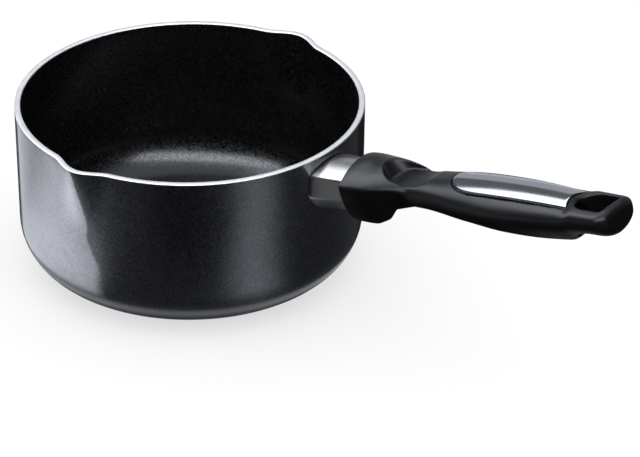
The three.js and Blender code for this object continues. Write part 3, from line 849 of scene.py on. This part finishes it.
def makeGrip():
    gap = handle["gap"]
    obj = loft("handle_moulded", gripRows())
    startEditing(obj)
    face = ((pan["rimRadius"] + handle["guardLength"]) * mm, 0, 0)
    bpy.ops.mesh.bisect(plane_co=face, plane_no=(1, 0, 0), use_fill=True, clear_inner=True)
    stopEditing()
    cutAway(obj, loft("seatCutter", guardRows(gap, handle["guardLength"] + handle["guardSeat"] + gap)))
    cutAway(obj, rodAlong("studBore", 0, studEnd + gap, fixing["studRadius"] + gap))
    cutAway(obj, rodAlong("screwBore", 0, seatAt + gap, fixing["boreRadius"]))
    cutAway(obj, rodAlong("headBore", seatAt, holeFront + hole["half"], fixing["headRadius"] + gap))
    for cutter in (scoopCutter, hollowCutter, inlayRecess, holeCutter):
        cutAway(obj, cutter())
    print("saucepan: handle cut,", len(obj.data.polygons), "faces")
    applyModifier(obj, "REMESH", mode="VOXEL", voxel_size=grip["voxel"] * mm)
    applyModifier(obj, "SMOOTH", factor=grip["smoothFactor"], iterations=grip["smoothing"])
    setOut(obj, "handle_grip", "handle_moulding", mouldingFinish)
    pickUp(obj)
    bpy.ops.object.shade_smooth()
    print("saucepan: handle made,", len(obj.data.polygons), "faces")
    return obj


gripPiece = makeGrip()

# The fixings keep their solids
for name, finish in [("handle_stud", studFinish), ("handle_screw", fixingFinish),
                     ("plain_washer", fixingFinish), ("lock_washer", fixingFinish)]:
    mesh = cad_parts[name].data
    mesh.materials.clear()
    mesh.materials.append(finish)
print("saucepan: fixings finished")


# Camera

shot = dict(azimuth=38.8, elevation=28.76, distance=2299.2, lookAt=40.21,
            yaw=-1.687, tilt=-0.593, lens=281.25, sensor=36, clipEnd=50000)


def aim(azimuth, elevation): # towards the camera is azimuth 0, to its right is positive
    turn = math.radians(shot["azimuth"] + azimuth)
    rise = math.radians(elevation)
    return Vector((math.sin(turn) * math.cos(rise), -math.cos(turn) * math.cos(rise), math.sin(rise)))


def addCamera():
    dropSelection()
    back = aim(0, shot["elevation"])
    spot = Vector((0, 0, shot["lookAt"])) + back * shot["distance"]
    turn = Matrix.Rotation(math.radians(shot["yaw"]), 3, "Z")
    right = Vector((0, 0, 1)).cross(back).normalized()
    up = turn @ back.cross(right)
    ahead, right = turn @ -back, turn @ right
    tilt = math.radians(shot["tilt"])
    ahead, up = (ahead * math.cos(tilt) + up * math.sin(tilt),
                 up * math.cos(tilt) - ahead * math.sin(tilt))
    bpy.ops.object.camera_add()
    camera = justAdded("photoCamera")
    camera.data.lens = shot["lens"]
    camera.data.sensor_width = shot["sensor"]
    camera.data.sensor_fit = "HORIZONTAL"
    camera.data.clip_end = shot["clipEnd"] * mm
    axes = Matrix((right, up, -ahead)).transposed().to_4x4()
    camera.matrix_world = Matrix.Translation(spot * mm) @ axes
    bpy.context.scene.camera = camera


# Light: glowing sheets that reflections alone see, painting reflections, and four softboxes

lampTint = (0.88, 0.92, 1.0)


def shineOnlyOn(light, *pieces):
    lit = bpy.data.collections.new(light.name + "Pieces")
    for piece in pieces:
        lit.objects.link(piece)
    light.light_linking.receiver_collection = lit


# White paper: its own light keeps it white to the camera, over its real shading
paper = dict(size=9000, drop=0.05, tone=0.88, white=1.12, whiteShare=0.55)


def addFloor():
    dropSelection()
    bpy.ops.mesh.primitive_plane_add(size=paper["size"] * mm, location=(0, 0, -paper["drop"] * mm))
    floor = justAdded("studioFloor")
    look = Finish("studioPaper")
    tone = paper["tone"]
    lit = look.add("ShaderNodeBsdfDiffuse", sockets={"Color": (tone, tone, tone, 1)})
    white = look.add("ShaderNodeEmission", sockets={"Strength": paper["white"]})
    seen = look.ray("Camera") + look.ray("Glossy") + look.ray("Transmission")
    floor.data.materials.append(look.show(look.mixed(seen * paper["whiteShare"], lit, white)))


# Flat sheets over the floor that only reflections see, painting reflections: the lowest a painted dark
# reflection round the pan, with a painted grey reflection behind it
sheet = dict(size=6000, height=3, step=1, inner=(52, 60), tone=0.012, rearShine=0.45,
             frontStart=(-175, -165), frontEnd=(140, 160),
             order=("darkReflectionSheet", "panReflectionGlow", "handleReflectionGlow", "guardReflectionGlow"))


def addSheet(name):
    height = sheet["height"] + sheet["step"] * sheet["order"].index(name)
    dropSelection()
    bpy.ops.mesh.primitive_plane_add(size=sheet["size"] * mm)
    obj = justAdded(name)
    startEditing(obj)
    bpy.ops.transform.translate(value=(0, 0, height * mm))
    stopEditing()
    obj.visible_camera = obj.visible_diffuse = obj.visible_shadow = False
    obj.visible_transmission = obj.visible_volume_scatter = False
    return obj


class SheetFinish(Finish):
    def __init__(self, obj):
        super().__init__(obj.name)
        self.material.cycles.emission_sampling = "NONE" # a reflection, not a lamp
        obj.data.materials.append(self.material)
        self.x, self.y = self.reach((1, 0, 0)), self.reach((0, 1, 0))
        self.near, self.left = self.reach(aim(0, 0)), self.reach(aim(-90, 0)) # as the camera sees them
        self.away = self.radius() / mm
        self.bearing = self.maths("ARCTAN2", self.left * -1.0, self.near) * (180 / math.pi)
        self.above = 1 - self.add("ShaderNodeNewGeometry", output="Backfacing")
        self.clear = self.add("ShaderNodeBsdfTransparent")

    def reach(self, direction):
        return self.along(self.place, Vector(direction) / mm)

    def glow(self, strength):
        return self.add("ShaderNodeEmission", sockets={"Color": self.scaled(lampTint, strength)})

    def lay(self, strength): # light added over what lies below
        light = self.glow(strength * self.above)
        self.show(self.add("ShaderNodeAddShader", sockets={0: self.clear, 1: light}))


# Painted dark reflection round the pan, glowing grey further behind; the floor shows through near the base
def addDarkReflectionSheet():
    look = SheetFinish(addSheet("darkReflectionSheet"))
    rear = 1 - look.bearing.between(sheet["frontStart"], sheet["frontEnd"])
    glow = look.glow(rear * sheet["rearShine"] + sheet["tone"])
    look.show(look.mixed(look.away.within(*sheet["inner"]) * look.above, look.clear, glow))


# Painted reflection of a bright panel to the left, with a slanting front edge
panel = dict(shine=3.45, edge=(86, 83), slope=-0.144, soft=2, baseSlope=0.64, baseSoft=6, start=(20, 40),
             far=0.29, fade=(-40, 60), close=0.4, closeFade=(67, 120), foot=(76, 88),
             tuck=0.39, tuckEdge=(80, 87), tuckEnd=(4, 18))


def panelGlow(look):
    edgeNear, edgeLeft = panel["edge"]
    behind, past = edgeNear - look.near, look.left - edgeLeft
    front = (behind + panel["slope"] * past).within(-panel["soft"], panel["soft"])
    base = (behind + panel["baseSlope"] * past).within(-panel["baseSoft"], panel["baseSoft"])
    bright = front * base * look.left.within(*panel["start"]) * look.away.within(*panel["foot"])
    bright = bright * look.near.within(*panel["fade"]).spread(panel["far"], 1)
    bright = bright * look.away.within(*panel["closeFade"]).spread(panel["close"], 1)
    beside = (look.left + panel["tuck"] * look.near).within(*panel["tuckEdge"])
    return bright * beside.maths("MAXIMUM", look.near.within(*panel["tuckEnd"])) * panel["shine"]


# Painted highlight: a soft strip to the right that leans as it runs out
strip = dict(bearing=35, half=19, shine=0.85, lean=9, leanEnd=200, foot=(78, 108))


def stripGlow(look):
    inwards = 1 - look.away.within(pan["rimRadius"], strip["leanEnd"])
    off = look.bearing - strip["bearing"] + strip["lean"] * inwards
    band = 1 - off.maths("ABSOLUTE").within(0, strip["half"])
    return band * look.away.within(*strip["foot"]) * strip["shine"]


# Painted reflections: faint light on the rest of the wall, and a ring of light under the base corner
wash = dict(right=0.055, rightX=(55, 75), rightY=(-95, -75), left=0.08, leftStart=(-70, -50),
            leftEnd=(-30, -10), front=0.07, frontStart=(-30, -10), frontEnd=(25, 45), frontFade=(100, 180),
            ring=0.45, ringStart=(70, 75), ringEnd=(76, 80))


def washGlow(look):
    right = look.x.within(*wash["rightX"]) * look.y.within(*wash["rightY"])
    left = look.bearing.between(wash["leftStart"], wash["leftEnd"])
    front = look.bearing.between(wash["frontStart"], wash["frontEnd"])
    front = front * (1 - look.away.within(*wash["frontFade"]))
    ring = look.away.between(wash["ringStart"], wash["ringEnd"])
    return right * wash["right"] + left * wash["left"] + front * wash["front"] + ring * wash["ring"]


# One glowing sheet, seen only in the pan's reflections, paints all these reflections
def addPanReflectionGlow():
    obj = addSheet("panReflectionGlow")
    look = SheetFinish(obj)
    look.lay(panelGlow(look) + stripGlow(look) + washGlow(look))
    shineOnlyOn(obj, panPiece)


# Painted reflection of a white floor behind the handle's shadow, seen in its underside, and in front of it
underHandle = dict(shine=0.15, xStart=(160, 180), xEnd=(250, 290), yStart=(-72, -48), yEnd=(130, 170),
                   frontShine=0.3, frontX=(10, 70), frontY=(-130, -100))


def addHandleReflectionGlow():
    spot = underHandle
    obj = addSheet("handleReflectionGlow")
    look = SheetFinish(obj)
    under = look.x.between(spot["xStart"], spot["xEnd"]) * look.y.between(spot["yStart"], spot["yEnd"])
    front = (1 - look.x.within(*spot["frontX"])) * (1 - look.y.within(*spot["frontY"]))
    look.lay(under * spot["shine"] + front * spot["frontShine"])
    shineOnlyOn(obj, gripPiece)


# Painted grey reflection: a glowing sheet seen only in the flame guard
guardGreyReflection = dict(shine=0.1, edge=(70, 80))


def addGuardReflectionGlow():
    obj = addSheet("guardReflectionGlow")
    look = SheetFinish(obj)
    look.lay(look.away.within(*guardGreyReflection["edge"]) * guardGreyReflection["shine"])
    shineOnlyOn(obj, guardPiece)


# Even white room for the floor's light, dimmer where glossy surfaces see it
room = dict(tone=1.16, front=0.02, rear=0.36, band=0.11, high=1.1, rearFade=(0.30, 0.38),
            highFade=(0.53, 0.9), aheadFade=(0, 0.8), tint=(0.85, 0.89, 1.0))


def addWorld():
    world = bpy.data.worlds.new("studioRoom")
    world.use_nodes = True
    look = Board(world.node_tree)
    direction = look.add("ShaderNodeTexCoord", output="Generated")
    height, ahead = look.along(direction, (0, 0, 1)), look.along(direction, -aim(0, 0))
    rear = height.within(*room["rearFade"]).spread(room["rear"], room["band"])
    low = ahead.within(*room["aheadFade"]).spread(room["front"], rear)
    gloss = height.within(*room["highFade"]).spread(low, room["high"])
    reflected = look.ray("Glossy")
    tint = look.blend(reflected, (1, 1, 1), room["tint"])
    light = look.scaled(tint, reflected.spread(room["tone"], gloss))
    shown = look.add("ShaderNodeBackground", sockets={"Color": light})
    look.add("ShaderNodeOutputWorld", sockets={"Surface": shown}, output=None)
    world.cycles.sampling_method = "NONE" # so that each kind of ray meets its own level
    bpy.context.scene.world = world


# Softboxes aim at a point over the middle of the base, and may light some pieces alone
softboxAim = 50
softboxes = dict(
    keyLight=dict(azimuth=3, elevation=43, roll=0, distance=1100, wide=2200, high=560, shine=2.5,
                  pieces=[gripPiece, guardPiece]),
    insideLight=dict(azimuth=-16, elevation=54.5, roll=0, distance=1100, wide=2200, high=460, shine=5.2,
                     pieces=[panPiece]),
    leftLight=dict(azimuth=-160, elevation=56.5, roll=-3.5, distance=1300, wide=1300, high=690, shine=1.2),
    sideLight=dict(azimuth=-106, elevation=37, roll=0, distance=1300, wide=740, high=1300, shine=2.7))


def addSoftbox(name, box):
    dropSelection()
    away = aim(box["azimuth"], box["elevation"])
    bpy.ops.object.light_add(type="AREA")
    lamp = justAdded(name)
    lamp.data.shape = "RECTANGLE"
    lamp.data.size, lamp.data.size_y = box["wide"] * mm, box["high"] * mm
    lamp.data.energy = box["shine"] * math.pi * lamp.data.size * lamp.data.size_y
    lamp.location = (away * box["distance"] + Vector((0, 0, softboxAim))) * mm
    roll = Quaternion((0, 0, 1), math.radians(box["roll"]))
    lamp.rotation_euler = (away.to_track_quat("Z", "Y") @ roll).to_euler()
    lamp.data.color = lampTint
    lamp.visible_camera = lamp.visible_diffuse = False # the room lights the floor
    if "pieces" in box:
        shineOnlyOn(lamp, *box["pieces"])


addCamera()
addFloor()
addWorld()
addDarkReflectionSheet()
addPanReflectionGlow()
addGuardReflectionGlow()
addHandleReflectionGlow()
for name, box in softboxes.items():
    addSoftbox(name, box)
bpy.context.scene.view_settings.view_transform = "Standard"
print("saucepan: studio set")

dropSelection()
